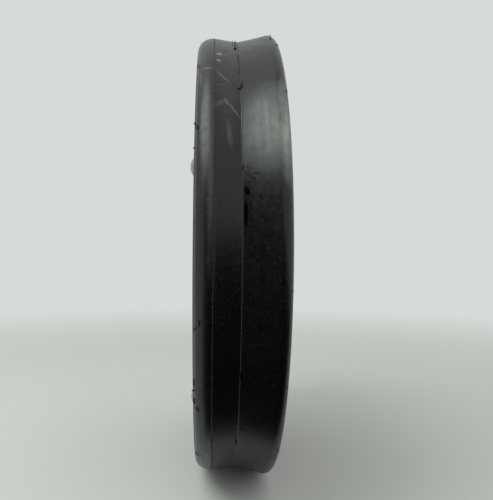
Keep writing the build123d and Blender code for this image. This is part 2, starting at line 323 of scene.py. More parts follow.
def addSoftbox(name, s):
    lamp = bpy.data.lights.new(name, "AREA")
    lamp.shape = "RECTANGLE"
    lamp.size, lamp.size_y = s["size"]
    lamp.energy = s["radiance"] * math.pi * s["size"][0] * s["size"][1]
    lamp.color = linear(s["colour"])[:3]
    lampObject = bpy.data.objects.new(name, lamp)
    lampObject.location = s["place"]
    aim = Vector(s["target"]) - Vector(s["place"])
    lampObject.rotation_euler = aim.to_track_quat("-Z", "Y").to_euler()
    lampObject.visible_camera = False
    bpy.context.scene.collection.objects.link(lampObject)


addSoftbox("softboxOverhead", softboxOverhead)
print("studio ready")


# Tyre, moulded black rubber: satin, with a thin grey bloom that gathers in patches; the pale patches are
# partly bloom and partly painted highlight
tyreSizes = {
    "radius": 203.2, "outboard": 32.3, "inboard": 33.3,
    "valleyRadius": 197.0, "crownRadius": 199.4,
    "shoulderWidth": 13.0, "shoulderHeight": 10.0, "lipWidth": 7.1, "lipHeight": 8.0,
    "flankDish": 0.3, "lipStart": -14.5, "sidewallLean": 1.6,
    "lipFace": 3.5, "reliefDepth": 5.5, "reliefSlope": 7.0,
    "lineHeight": 0.25, "lineWidth": 0.8,
    "seatRadius": 152.1, "seatOutboard": -24.0, "seatInboard": 20.0,
    "beadRadius": 160.4, "flangeWall": 4.0, "flangeEdge": 2.5,
    "lipRound": 1.2, "reliefRound": 3.0, "flangeRound": 1.5, "beadRound": 1.0,
    "lipSteps": 16, "flankSteps": 24, "shoulderSteps": 25, "bandSteps": 8, "steps": 480,
}


def tyreOutline(s):
    halfLine = s["lineWidth"] / 2
    lipTop = (s["radius"], s["inboard"] - s["lipWidth"])
    valleyRight = (s["valleyRadius"], halfLine)
    # the lip rises out of the flank where both have the same slope
    lip = []
    for i in range(s["lipSteps"] + 1):
        a = math.radians(s["lipStart"] + (90 - s["lipStart"]) * i / s["lipSteps"])
        lip.append((lipTop[0] - s["lipHeight"] * (1 - math.cos(a)), lipTop[1] + s["lipWidth"] * math.sin(a)))
    # the flank is a shallow hollow between the valley and the lip
    flank = []
    for i in range(1, s["flankSteps"]):
        t = i / s["flankSteps"]
        flank.append((
            valleyRight[0] + (lip[0][0] - valleyRight[0]) * t - 4 * s["flankDish"] * t * (1 - t),
            valleyRight[1] + (lip[0][1] - valleyRight[1]) * t,
        ))
    wallY = s["inboard"] - s["reliefDepth"]
    lipFoot = lip[-1][0] - s["lipFace"]
    shoulderEnd = (s["crownRadius"] - s["shoulderHeight"], -s["outboard"])
    inner = roundedLine([
        (lip[-1][0], s["inboard"], 0),
        (lipFoot, s["inboard"], s["lipRound"]),
        (lipFoot - s["reliefSlope"], wallY, s["reliefRound"]),
        (s["beadRadius"] + s["flangeWall"], wallY, s["flangeRound"]),
        (s["beadRadius"], s["seatInboard"] + s["flangeWall"] - s["flangeEdge"], s["beadRound"]),
        (s["beadRadius"], s["seatInboard"], 0),
        (s["seatRadius"], s["seatInboard"], 0),
        (s["seatRadius"], s["seatOutboard"], 0),
        (s["beadRadius"], s["seatOutboard"], 0),
        (s["beadRadius"], s["seatOutboard"] - s["flangeWall"] + s["flangeEdge"], s["beadRound"]),
        (s["beadRadius"] + s["flangeWall"], -s["outboard"] + s["sidewallLean"], s["flangeRound"]),
        (*shoulderEnd, 0),
    ])
    shoulder = []
    for i in range(s["shoulderSteps"]):
        a = math.radians(90 * i / s["shoulderSteps"])
        shoulder.append((
            shoulderEnd[0] + s["shoulderHeight"] * math.sin(a),
            shoulderEnd[1] + s["shoulderWidth"] * (1 - math.cos(a)),
        ))
    crownY = -s["outboard"] + s["shoulderWidth"] + halfLine
    crown = [
        (s["crownRadius"], crownY - halfLine),
        (s["crownRadius"] + s["lineHeight"], crownY),
        (s["crownRadius"], crownY + halfLine),
    ]
    band = [
        (s["crownRadius"] + (s["valleyRadius"] - s["crownRadius"]) * i / s["bandSteps"],
         crown[2][1] + (-halfLine - crown[2][1]) * i / s["bandSteps"])
        for i in range(1, s["bandSteps"])
    ]
    valley = [
        (s["valleyRadius"], -halfLine),
        (s["valleyRadius"] + s["lineHeight"], 0),
        valleyRight,
    ]
    return flank + lip + inner[1:-1] + shoulder + crown + band + valley


treadRadius = 198.0  # turns angles into lengths along the tread
markSoftness = 0.5  # share of a mark's half width that fades, unless it says its own


def markMask(tree, tread, mark):
    # soft-edged streak or spot on the tread, from one (angle, y) to another
    start, end = [Vector((math.radians(a) * treadRadius, y)) for a, y in (mark["from"], mark["to"])]
    along = end - start
    local = addNode(tree, "ShaderNodeMapping", {
        "vector_type": "TEXTURE",
        "Location": (*((start + end) / 2), 0),
        "Rotation": (0, 0, math.atan2(along.y, along.x)),
        "Scale": (along.length / 2 + mark["width"] / 2, mark["width"] / 2, 1),
    }, {"Vector": tread})
    distance = addNode(tree, "ShaderNodeVectorMath", {"operation": "LENGTH"}, {0: local.outputs[0]})
    soft = mark.get("soft", markSoftness)
    return addNode(tree, "ShaderNodeMapRange", {
        "From Min": 1.0, "From Max": 1 - soft, "To Max": mark["strength"],
    }, {"Value": distance.outputs["Value"]}).outputs[0]


def allMarks(tree, tread, marks):
    total = None
    for mark in marks:
        mask = markMask(tree, tread, mark)
        if total is None:
            total = mask
        else:
            total = addNode(tree, "ShaderNodeMath", {"operation": "MAXIMUM"}, {0: total, 1: mask}).outputs[0]
    return total


# what handling has left on the tread: pale scuffs, two dabs of inspection paint, and
# places wiped dark beside the valley. A patch's noise between two values gives two others
rubberLook = {
    "colour": "#030407", "Roughness": 0.34, "IOR": 1.52,
    # the bloom's pale grey is partly painted highlight
    "warmColour": "#07080b", "bloomHighlightColour": "#bec7be", "scuffColour": "#8d948f",
    # the wiped places' own dark also serves as painted shade on the seam and outside the outboard edge
    "paintColour": "#a3a17c", "wipedAndShadeColour": "#020304", "edgeHighlightColour": "#948d82",
    "bloomAndHighlight": 0.002, "patchBloomAndHighlight": 1.0,
    "treadFades": (187.0, 198.0), "outboardSide": -20.0,
    "clouds": {"size": 14.0, "between": (0.36, 0.68), "gives": (0.5, 1.0), "detail": 6.0, "broken": 0.62},
    "streaks": {
        "size": 3.0, "between": (0.3, 0.7), "gives": (0.6, 1.0), "detail": 3.0, "broken": 0.6,
        "mapping": {"Scale": (0.12, 1.0, 0.12)},
    },
    "mottle": {"size": 5.0, "between": (0.3, 0.7), "gives": (-0.07, 0.07), "detail": 5.0, "broken": 0.65},
    # dust specks are finer, drawn coarse enough to show
    "specks": {"size": 1.6, "between": (0.62, 0.74), "gives": (0.0, 0.05), "detail": 2.0},
    # painted shade along the seam's ridge
    "shadedSeam": {"halfWidth": 0.7, "core": 0.2, "strength": 0.6},
    # a painted highlight along the outboard edge of the tread, and painted shade just outside it on the
    # sidewall
    "paintedEdgeHighlight": {"at": 193.9, "halfWidth": 1.1, "core": 0.33, "strength": 0.16},
    "paintedEdgeShade": {"at": 191.7, "halfWidth": 1.0, "core": 0.3, "strength": 0.8},
    "ragged": 3.0, "wobble": 1.6,  # how finely and how far the marks' edges wander
    "tone": 45.0,
    "grain": 1.2, "grainDepth": 0.04,  # mould grain is finer, drawn coarse enough to show
    "waveDepth": 0.12,
    "dullAt": 0.5, "dullRoughness": 0.54, "wipedRoughness": 0.14, "seamRoughness": 0.75,
}
paleScuffs = [
    {"from": (42.5, -19.4), "to": (37.6, -6.4), "width": 1.8, "strength": 0.30, "soft": 0.7},
    {"from": (36.9, -19.5), "to": (37.1, -11.0), "width": 1.2, "strength": 0.15},
    {"from": (43.6, -27.3), "to": (42.8, -21.4), "width": 4.2, "strength": 0.22, "soft": 0.6},
    {"from": (43.5, -28.8), "to": (36.5, -28.2), "width": 1.3, "strength": 0.25},
    {"from": (49.0, -27.0), "to": (45.5, -26.4), "width": 1.2, "strength": 0.13},
    {"from": (30.5, -19.0), "to": (32.6, -10.4), "width": 5.2, "strength": 0.14, "soft": 0.9},
    {"from": (32.9, -11.8), "to": (31.4, -9.6), "width": 2.8, "strength": 0.25},
    {"from": (32.2, -9.8), "to": (27.8, -0.9), "width": 1.9, "strength": 0.27},
    {"from": (27.5, -9.8), "to": (20.5, -7.4), "width": 4.8, "strength": 0.16, "soft": 0.9},
]
paintDabs = [
    {"from": (50.2, -15.3), "to": (50.0, -15.3), "width": 5.2, "strength": 0.5, "soft": 0.35},
    {"from": (46.7, -15.6), "to": (46.5, -15.6), "width": 4.4, "strength": 0.42, "soft": 0.4},
]
wipedPlaces = [
    {"from": (17.0, 2.0), "to": (6.0, 2.0), "width": 16.0, "strength": 0.4, "soft": 0.9},
    {"from": (17.2, 2.4), "to": (16.0, 5.4), "width": 4.0, "strength": 0.9},
    {"from": (15.8, 1.4), "to": (14.9, 5.2), "width": 4.6, "strength": 1.0},
    {"from": (15.3, 6.4), "to": (15.2, 11.0), "width": 2.4, "strength": 0.9},
    {"from": (14.4, 6.0), "to": (14.3, 8.2), "width": 2.6, "strength": 0.8},
    {"from": (12.6, 1.6), "to": (11.2, 3.8), "width": 4.6, "strength": 1.0},
    {"from": (10.8, 11.2), "to": (10.3, 12.0), "width": 1.6, "strength": 0.7},
    {"from": (9.6, 3.9), "to": (9.1, 5.4), "width": 2.2, "strength": 0.7},
    {"from": (10.4, 1.9), "to": (4.6, 1.8), "width": 3.6, "strength": 1.0},
    {"from": (13.4, 14.9), "to": (13.2, 17.1), "width": 1.6, "strength": 0.4},
    {"from": (13.7, 0.8), "to": (13.5, 9.7), "width": 0.9, "strength": 0.35},
]
# patches of grey bloom on the flank, the crown and the band, partly painted highlight where the overhead
# light's highlight falls
bloomAndHighlightPatches = [
    {"from": (32.0, 18.0), "to": (20.5, 18.0), "width": 40.0, "strength": 0.5, "soft": 0.9},
    {"from": (37.0, 30.0), "to": (14.0, 30.0), "width": 17.0, "strength": 1.0, "soft": 0.9},
    {"from": (24.0, -21.0), "to": (-6.0, -21.4), "width": 5.5, "strength": 0.13, "soft": 0.9},
    {"from": (46.0, -9.0), "to": (22.0, -9.0), "width": 20.0, "strength": 0.045, "soft": 0.8},
]


def thinLine(tree, measure, line):
    # soft-sided line where a measure in metres passes line["at"]
    offset = addNode(tree, "ShaderNodeMath", {"operation": "SUBTRACT", 1: line["at"] * mm}, {0: measure})
    distance = addNode(tree, "ShaderNodeMath", {"operation": "ABSOLUTE"}, {0: offset.outputs[0]})
    return addNode(tree, "ShaderNodeMapRange", {
        "From Min": line["halfWidth"] * mm, "From Max": line["core"] * mm, "To Max": line["strength"],
    }, {"Value": distance.outputs[0]}).outputs[0]


mouldedRubber, tree, shader, place = startMaterial("mouldedRubber", rubberLook)
turn, fromAxle, alongAxle = roundAxle(tree, place)
wobble = rubberLook["wobble"]
alongTread = addNode(tree, "ShaderNodeMath", {
    "operation": "MULTIPLY_ADD", 1: treadRadius, 2: -wobble / 2,
}, {0: turn})
acrossTread = addNode(tree, "ShaderNodeMath", {
    "operation": "MULTIPLY_ADD", 1: 1 / mm, 2: -wobble / 2,
}, {0: alongAxle})
treadPlace = addNode(tree, "ShaderNodeCombineXYZ", {}, {
    "X": alongTread.outputs[0], "Y": acrossTread.outputs[0],
})
ragged = addNode(tree, "ShaderNodeTexNoise", {
    "Scale": 1 / (rubberLook["ragged"] * mm), "Detail": 3.0,
}, {"Vector": place})
tread = addNode(tree, "ShaderNodeVectorMath", {"operation": "MULTIPLY_ADD", 1: (wobble, wobble, 0)}, {
    0: ragged.outputs["Color"], 2: treadPlace.outputs[0],
}).outputs[0]

# the bloom and painted highlight stay on the tread and fade out down the lip's outer face
onTread = addNode(tree, "ShaderNodeMapRange", {
    "interpolation_type": "SMOOTHSTEP",
    "From Min": rubberLook["treadFades"][0] * mm, "From Max": rubberLook["treadFades"][1] * mm,
}, {"Value": fromAxle})
patch = addNode(tree, "ShaderNodeMath", {"operation": "MULTIPLY"}, {
    0: allMarks(tree, tread, bloomAndHighlightPatches), 1: onTread.outputs[0],
})
bloomHighlightAmount = addNode(tree, "ShaderNodeMapRange", {
    "To Min": rubberLook["bloomAndHighlight"], "To Max": rubberLook["patchBloomAndHighlight"],
}, {"Value": patch.outputs[0]})
wiped = allMarks(tree, tread, wipedPlaces)
notWiped = addNode(tree, "ShaderNodeMath", {"operation": "SUBTRACT", 0: 1.0}, {1: wiped})
# bloom and painted highlight in clouds, broken by streaks that run round the wheel
bloomAndHighlight = patchMask(tree, place, rubberLook["clouds"])
streaks = patchMask(tree, place, rubberLook["streaks"])
for factor in (streaks, bloomHighlightAmount.outputs[0], notWiped.outputs[0]):
    bloomAndHighlight = addNode(tree, "ShaderNodeMath", {"operation": "MULTIPLY"}, {0: bloomAndHighlight, 1: factor}).outputs[0]
scuffed = allMarks(tree, tread, paleScuffs)
painted = allMarks(tree, tread, paintDabs)

# the mould's parting line beside the crown is a fine ridge, with painted shade along it as a dark line
shadedSeam = thinLine(tree, alongAxle, {
    "at": tyreSizes["shoulderWidth"] + tyreSizes["lineWidth"] / 2 - tyreSizes["outboard"],
    **rubberLook["shadedSeam"],
})
# where the tread ends on the outboard side, a painted highlight along the edge with painted shade on the
# sidewall outside it
outboardSide = addNode(tree, "ShaderNodeMath", {
    "operation": "LESS_THAN", 1: rubberLook["outboardSide"] * mm,
}, {0: alongAxle})
paintedEdgeHighlight, paintedEdgeShade = [
    addNode(tree, "ShaderNodeMath", {"operation": "MULTIPLY"}, {
        0: thinLine(tree, fromAxle, rubberLook[edge]), 1: outboardSide.outputs[0],
    }).outputs[0]
    for edge in ("paintedEdgeHighlight", "paintedEdgeShade")
]
tone = addNode(tree, "ShaderNodeTexNoise", {
    "Scale": 1 / (rubberLook["tone"] * mm), "Detail": 3.0,
}, {"Vector": place})
specks = patchMask(tree, place, rubberLook["specks"])
# the bloom layer is partly painted highlight
layColours(tree, shader, rubberLook["colour"], [(mask, rubberLook[key]) for mask, key in (
    (tone.outputs["Fac"], "warmColour"), (bloomAndHighlight, "bloomHighlightColour"), (specks, "scuffColour"),
    (wiped, "wipedAndShadeColour"), (scuffed, "scuffColour"), (painted, "paintColour"),
    # the seam's painted shade, then the outboard edge's painted highlight and painted shade
    (shadedSeam, "wipedAndShadeColour"), (paintedEdgeHighlight, "edgeHighlightColour"), (paintedEdgeShade, "wipedAndShadeColour"),
)])

dull = addNode(tree, "ShaderNodeMath", {"operation": "ADD"}, {0: bloomAndHighlight, 1: scuffed})
roughness = addNode(tree, "ShaderNodeMapRange", {
    "From Max": rubberLook["dullAt"],
    "To Min": rubberLook["Roughness"], "To Max": rubberLook["dullRoughness"],
}, {"Value": dull.outputs[0]}).outputs[0]
# patches a few mm wide that shine a little more or less than the rest
mottle = patchMask(tree, place, rubberLook["mottle"])
roughness = addNode(tree, "ShaderNodeMath", {"operation": "ADD"}, {0: roughness, 1: mottle}).outputs[0]
for mask, key in ((wiped, "wipedRoughness"), (shadedSeam, "seamRoughness"), (paintedEdgeShade, "seamRoughness")):
    roughness = addNode(tree, "ShaderNodeMix", {"data_type": "FLOAT", 3: rubberLook[key]}, {
        0: mask, 2: roughness,
    }).outputs[0]
tree.links.new(roughness, shader.inputs["Roughness"])

grain = addNode(tree, "ShaderNodeTexNoise", {
    "Scale": 1 / (rubberLook["grain"] * mm), "Detail": 3.0,
}, {"Vector": place})
# the tread's shallow waves follow the clouds of bloom and painted highlight
waves = addNode(tree, "ShaderNodeTexNoise", {
    "Scale": 1 / (rubberLook["clouds"]["size"] * mm),
    "Detail": rubberLook["clouds"]["detail"], "Roughness": rubberLook["clouds"]["broken"],
}, {"Vector": place})
stackRelief(tree, shader, (
    (grain.outputs["Fac"], rubberLook["grainDepth"]), (waves.outputs["Fac"], rubberLook["waveDepth"]),
))
addObject(
    "tyreMoulded", turnedMesh("tyreMoulded", tyreOutline(tyreSizes), tyreSizes["steps"]),
    mouldedRubber, "wheel", ("tyre",)
)
print("tyre ready")


# Vent hairs and flash: thin rubber left by the mould's vents. Each path is a list of
# (angle, y, height above the tread)
ventHairs = [
    {"path": [(55.5, -2.4, 0.3), (59.5, -2.0, 1.0), (63.5, -1.6, 1.8)], "width": (1.9, 1.3)},
    {"path": [(60.0, -4.0, 0.2), (61.5, -4.2, 1.2), (62.5, -4.0, 2.2)], "width": (0.6, 0.4)},
    {"path": [(51.2, -0.9, 0.2), (47.0, -0.7, 0.4), (42.4, -0.5, 0.2)], "width": (1.0, 0.9)},
    {"path": [(36.4, -1.5, 0.1), (37.5, -0.4, 1.2), (38.6, 1.4, 2.0)], "width": (1.7, 1.1)},
    {"path": [(16.1, -0.6, 0.0), (16.5, -0.3, 1.0), (17.3, 0.3, 0.9)], "width": (1.4, 0.7)},
    {"path": [(58.6, 26.2, 0.0), (60.0, 26.3, 1.4), (61.2, 26.6, 2.4)], "width": (1.2, 0.7)},
    {"path": [(54.9, 30.6, 0.0), (55.6, 30.8, 1.2)], "width": (1.1, 0.8)},
    {"path": [(34.7, 32.0, -0.1), (35.2, 31.9, 0.9)], "width": (1.1, 0.8)},
    {"path": [(13.9, 32.4, -0.1), (14.2, 32.2, 0.6)], "width": (1.0, 0.8)},
    {"path": [(-6.8, 32.7, -0.1), (-6.6, 32.4, 0.4)], "width": (0.8, 0.6)},
    {"path": [(-27.0, 32.0, -0.1), (-26.4, 31.8, 0.5)], "width": (0.8, 0.6)},
    {"path": [(-47.2, 31.0, -0.1), (-46.4, 31.0, 1.0)], "width": (1.1, 0.8)},
    {"path": [(46.2, -31.4, 0.1), (46.6, -30.8, 0.8), (47.0, -30.0, 1.2)], "width": (1.0, 0.6)},
    {"path": [(27.9, -32.0, 0.6), (25.8, -30.6, 0.4), (25.4, -30.0, 0.2)], "width": (0.7, 0.9)},
    {"path": [(25.4, -30.0, 0.2), (26.0, -29.5, 0.9), (26.6, -29.2, 1.4)], "width": (0.9, 0.6)},
    {"path": [(21.8, -32.0, 0.0), (21.5, -32.0, 0.9)], "width": (0.9, 0.6)},
    {"path": [(6.2, -31.2, 0.6), (6.0, -29.7, 0.4), (5.6, -28.3, 0.1)], "width": (0.6, 1.0)},
    {"path": [(-15.0, -31.0, 0.6), (-14.2, -29.8, 0.9), (-14.0, -28.2, 0.6), (-13.7, -27.2, 0.3)],
     "width": (0.6, 0.8)},
    {"path": [(-13.7, -27.2, 0.3), (-12.9, -27.2, 1.0), (-12.6, -28.0, 1.4)], "width": (0.8, 0.5)},
    {"path": [(-26.2, -31.5, 0.2), (-26.9, -31.0, 0.6), (-27.9, -31.2, 0.3)], "width": (1.0, 0.8)},
    {"path": [(-29.1, -31.0, 0.1), (-28.9, -31.3, 1.6)], "width": (1.2, 0.8)},
    {"path": [(-31.2, -31.2, 0.2), (-32.2, -31.0, 0.5), (-33.0, -31.2, 0.3)], "width": (0.9, 0.7)},
    {"path": [(-34.0, -31.0, 0.4), (-33.8, -30.2, 0.7), (-33.2, -29.2, 0.8)], "width": (0.5, 0.6)},
    {"path": [(-33.2, -29.2, 0.8), (-33.3, -28.6, 0.9), (-34.1, -28.2, 0.5)], "width": (0.7, 0.6)},
    {"path": [(-53.4, -31.3, 0.2), (-52.9, -30.6, 0.8), (-53.4, -29.6, 0.6), (-52.8, -28.7, 0.4)],
     "width": (0.5, 0.7)},
    {"path": [(-23.8, -18.6, 0.2), (-24.8, -18.8, 0.6), (-25.7, -19.0, 0.2)], "width": (1.0, 0.8)},
    {"path": [(-24.1, -0.6, 0.2), (-25.0, -0.2, 0.7), (-25.9, 0.3, 0.2)], "width": (1.1, 0.8)},
    {"path": [(-4.0, 0.0, 0.0), (-4.4, 0.1, 0.8)], "width": (1.2, 0.9)},
    {"path": [(-44.4, -1.0, 0.1), (-45.6, -0.8, 0.7), (-46.8, -0.6, 0.2)], "width": (1.3, 1.0)},
    {"path": [(-43.2, -19.0, 0.0), (-43.6, -19.0, 0.7)], "width": (1.0, 0.8)},
    {"path": [(33.9, -19.0, 0.0), (34.4, -18.9, 0.7)], "width": (1.0, 0.7)},
]
hairShape = {
    "sides": 8, "steps": 7, "tip": 0.55,  # the tip as a share of the width
    "treadFrom": 189.0, "sameY": 0.01, "across": (0, 1, 0.2),
}


def treadAt(angle, y, height, outline):
    # a point above the tread: the outline gives the radius there and which way is out
    tread = [point for point in outline if point[0] > hairShape["treadFrom"]]
    near = sorted(tread, key=lambda point: abs(point[1] - y))[:2]
    radius = near[0][0]
    low, high = sorted(near, key=lambda point: point[1])
    if high[1] - low[1] > hairShape["sameY"]:
        radius = low[0] + (high[0] - low[0]) * min(max((y - low[1]) / (high[1] - low[1]), 0), 1)
    # over the shoulder the hair leans outboard, square to its curve
    shoulderY = tyreSizes["shoulderWidth"] - tyreSizes["outboard"]
    lean = max(0.0, (shoulderY - y) / tyreSizes["shoulderWidth"]) * math.pi / 2
    radius, y = radius + math.cos(lean) * height, y - math.sin(lean) * height
    turnAngle = math.radians(angle)
    return Vector((radius * math.cos(turnAngle), y, radius * math.sin(turnAngle))) * mm


def hairMesh(name, hairs, outline):
    sides, steps = hairShape["sides"], hairShape["steps"]
    points, faces = [], []
    for hair in hairs:
        path = [treadAt(*place, outline) for place in hair["path"]]
        line = []
        for i in range(steps):
            # a smooth line through the path by repeated blending
            t = i / (steps - 1)
            level = path
            while len(level) > 1:
                level = [a.lerp(b, t) for a, b in zip(level, level[1:])]
            line.append(level[0])
        first = len(points)
        for i, middle in enumerate(line):
            ahead = line[min(i + 1, steps - 1)] - line[max(i - 1, 0)]
            side = ahead.cross(Vector(hairShape["across"])).normalized()
            other = ahead.cross(side).normalized()
            t = i / (steps - 1)
            radius = (hair["width"][0] * (1 - t) + hair["width"][1] * t) * mm / 2
            if i == steps - 1:
                radius *= hairShape["tip"]
            for k in range(sides):
                a = 2 * math.pi * k / sides
                points.append(middle + (side * math.cos(a) + other * math.sin(a)) * radius)
        for i in range(steps - 1):
            here, there = first + i * sides, first + (i + 1) * sides
            for k in range(sides):
                n = (k + 1) % sides
                faces.append((here + k, here + n, there + n, there + k))
        faces.append(tuple(first + k for k in range(sides)))
        faces.append(tuple(first + (steps - 1) * sides + k for k in reversed(range(sides))))
    return smoothMesh(name, points, faces)


# the same rubber, but torn and thin: duller than the tread, paler where it has dried
hairLook = {
    "colour": "#0a0b0c", "Roughness": 0.5, "IOR": 1.52, "driedRoughness": 0.7,
    "dried": {"colour": "#1e2122", "size": 1.5, "between": (0.45, 0.7)},  # mm
    "grainDepth": 0.05,
}
hairRubber, tree, shader, place = startMaterial("hairRubber", hairLook)
dried = patchMask(tree, place, hairLook["dried"])
layColours(tree, shader, hairLook["colour"], [(dried, hairLook["dried"]["colour"])])
driedRoughness = addNode(tree, "ShaderNodeMapRange", {
    "To Min": hairLook["Roughness"], "To Max": hairLook["driedRoughness"],
}, {"Value": dried})
tree.links.new(driedRoughness.outputs[0], shader.inputs["Roughness"])
hairGrain = addNode(tree, "ShaderNodeTexNoise", {
    "Scale": 1 / (hairLook["dried"]["size"] * mm), "Detail": 4.0,
}, {"Vector": place})
stackRelief(tree, shader, [(hairGrain.outputs["Fac"], hairLook["grainDepth"])])
addObject(
    "ventHairs", hairMesh("ventHairs", ventHairs, tyreOutline(tyreSizes)),
    hairRubber, "wheel"
)
print("vent hairs ready")


def dress(nodeNames, material):
    # the CAD shape stays and its slots take the material
    for name in nodeNames:
        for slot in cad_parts[name].material_slots:
            slot.material = material


# Rim halves, glass-filled nylon: fine moulded grain, pale flow marks that run out from
# the hub, and grey field dust that lies thicker in clouds
nylonLook = {
    "colour": "#2c2d2e", "Roughness": 0.44, "IOR": 1.53, "dustyRoughness": 0.72,
    "flow": {"colour": "#3b3c3d", "size": 3.0, "between": (0.42, 0.72)},
    "flowAround": 0.16, "flowOutward": 0.10,  # stretches the flow marks; metres for a radian
    "fibres": {
        "colour": "#3b3c3d", "size": 0.8, "between": (0.60, 0.72), "gives": (0.0, 0.35), "detail": 2.0,
    },
    "rubbed": {
        "colour": "#484a4b", "size": 5.0, "between": (0.60, 0.70), "gives": (0.0, 0.4), "detail": 5.0,
    },
    "dust": {
        "colour": "#6d6a61", "size": 22.0, "between": (0.42, 0.72), "gives": (0.0, 0.22), "detail": 6.0,
    },
    "grain": 0.9, "grainDepth": 0.05,  # mm; the real grain is finer, drawn coarse enough to show
    "sink": 28.0, "sinkDepth": 0.5,  # mm; slow waves where thick places shrank
}
glassFilledNylon, tree, shader, place = startMaterial("glassFilledNylon", nylonLook)
turn, fromAxle, alongAxle = roundAxle(tree, place)
around = addNode(tree, "ShaderNodeMath", {
    "operation": "MULTIPLY", 1: nylonLook["flowAround"],
}, {0: turn})
outward = addNode(tree, "ShaderNodeMath", {
    "operation": "MULTIPLY", 1: nylonLook["flowOutward"],
}, {0: fromAxle})
flowPlace = addNode(tree, "ShaderNodeCombineXYZ", {}, {
    "X": around.outputs[0], "Y": outward.outputs[0], "Z": alongAxle,
})
dust = patchMask(tree, place, nylonLook["dust"])
layColours(tree, shader, nylonLook["colour"], (
    (patchMask(tree, flowPlace.outputs[0], nylonLook["flow"]), nylonLook["flow"]["colour"]),
    (patchMask(tree, place, nylonLook["fibres"]), nylonLook["fibres"]["colour"]),
    (patchMask(tree, place, nylonLook["rubbed"]), nylonLook["rubbed"]["colour"]),
    (dust, nylonLook["dust"]["colour"]),
))
roughness = addNode(tree, "ShaderNodeMapRange", {
    "From Max": nylonLook["dust"]["gives"][1],
    "To Min": nylonLook["Roughness"], "To Max": nylonLook["dustyRoughness"],
}, {"Value": dust})
tree.links.new(roughness.outputs[0], shader.inputs["Roughness"])
grain = addNode(tree, "ShaderNodeTexNoise", {
    "Scale": 1 / (nylonLook["grain"] * mm), "Detail": 2.0,
}, {"Vector": place})
sink = addNode(tree, "ShaderNodeTexNoise", {
    "Scale": 1 / (nylonLook["sink"] * mm), "Detail": 1.0,
}, {"Vector": place})
stackRelief(tree, shader, (
    (grain.outputs["Fac"], nylonLook["grainDepth"]), (sink.outputs["Fac"], nylonLook["sinkDepth"]),
))
dress(("outer_rim_half", "inner_rim_half"), glassFilledNylon)

# Zinc plated fasteners: dull silver with a faint yellow and blue cast in patches
zincLook = {
    "colour": "#a6aaac", "Metallic": 1.0, "Roughness": 0.38, "dullRoughness": 0.6,
    "patches": (
        {"colour": "#b3ae98", "size": 4.0, "between": (0.45, 0.75), "gives": (0.0, 0.7)},
        {"colour": "#939da8", "size": 3.2, "between": (0.5, 0.75), "gives": (0.0, 0.6),
         "mapping": {"Location": (0.031, 0.017, 0.023)}},  # away from the yellow patches
        {"colour": "#717372", "size": 1.4, "between": (0.56, 0.70), "gives": (0.0, 0.8), "detail": 5.0},
    ),
    "crystal": 0.6, "crystalDepth": 0.015,  # mm; real ones are finer, drawn coarse enough to show
}
zincPlate, tree, shader, place = startMaterial("zincPlate", zincLook)
dullSpots = layPatches(tree, shader, place, zincLook)[-1]
roughness = addNode(tree, "ShaderNodeMapRange", {
    "To Min": zincLook["Roughness"], "To Max": zincLook["dullRoughness"],
}, {"Value": dullSpots})
tree.links.new(roughness.outputs[0], shader.inputs["Roughness"])
crystals = addNode(tree, "ShaderNodeTexVoronoi", {"Scale": 1 / (zincLook["crystal"] * mm)}, {"Vector": place})
stackRelief(tree, shader, [(crystals.outputs["Distance"], zincLook["crystalDepth"])])
dress(("rim_washers", "hub_washers"), zincPlate)


def mouldedPart(name, look):
    # patches of dirt or age, a shine that varies, and mould grain
    material, tree, shader, place = startMaterial(name, look)
    layPatches(tree, shader, place, look)
    tree.links.new(patchMask(tree, place, look["shine"]), shader.inputs["Roughness"])
    grain = addNode(tree, "ShaderNodeTexNoise", {
        "Scale": 1 / (look["grain"] * mm), "Detail": 2.0,
    }, {"Vector": place})
    stackRelief(tree, shader, [(grain.outputs["Fac"], look["grainDepth"])])
    return material


# Dust cap, black polyethylene: waxy, scratched in fine arcs where it was pressed home
capLook = {
    "colour": "#1d1e20", "IOR": 1.51,
    "patches": (
        {"colour": "#4c4f50", "size": 1.2, "between": (0.64, 0.70), "gives": (0.0, 0.5), "detail": 3.0,
         "mapping": {"Rotation": (0, 0.5, 0), "Scale": (0.10, 1.0, 1.6)}},  # drawn out along the scratches
        {"colour": "#5f5d56", "size": 7.0, "between": (0.48, 0.72), "gives": (0.0, 0.3), "detail": 5.0},
    ),
    "shine": {"size": 6.0, "between": (0.35, 0.7), "gives": (0.28, 0.5)},
    "grain": 0.7, "grainDepth": 0.03,  # mm; the real grain is finer
}
dress(("dust_cap",), mouldedPart("capPolyethylene", capLook))

# Rings in the lock nuts, natural nylon pressed in: cream, slightly yellowed
insertLook = {
    "colour": "#d9d6ca", "IOR": 1.53,
    "patches": ({"colour": "#c4b995", "size": 2.5, "between": (0.4, 0.7)},),
    "shine": {"size": 1.0, "between": (0.3, 0.7), "gives": (0.32, 0.5)},
    "grain": 0.4, "grainDepth": 0.02,  # mm; the real grain is finer
}
dress(("rim_nut_inserts", "hub_nut_inserts"), mouldedPart("insertNylon", insertLook))

# Cage of the bearing, moulded nylon: cream, browned and shinier where grease lies
cageLook = {
    "colour": "#d6cdb4", "IOR": 1.53,
    "patches": ({"colour": "#a78f5c", "size": 3.0, "between": (0.42, 0.7), "gives": (0.0, 0.7)},),
    "shine": {"size": 2.0, "between": (0.35, 0.7), "gives": (0.5, 0.22)},
    "grain": 0.5, "grainDepth": 0.02,  # mm; the real grain is finer
}
dress(("bearing_cage",), mouldedPart("cageNylon", cageLook))

# Lips of the seals, moulded nitrile rubber: black and matt, with grey dust in patches
sealLook = {
    "colour": "#141416", "IOR": 1.52,
    "patches": ({"colour": "#46443f", "size": 4.0, "between": (0.45, 0.72), "gives": (0.0, 0.4)},),
    "shine": {"size": 2.0, "between": (0.35, 0.7), "gives": (0.42, 0.62)},
    "grain": 0.5, "grainDepth": 0.02,  # mm; the real grain is finer
}
dress(("outboard_seal_lip", "inboard_seal_lip"), mouldedPart("sealRubber", sealLook))


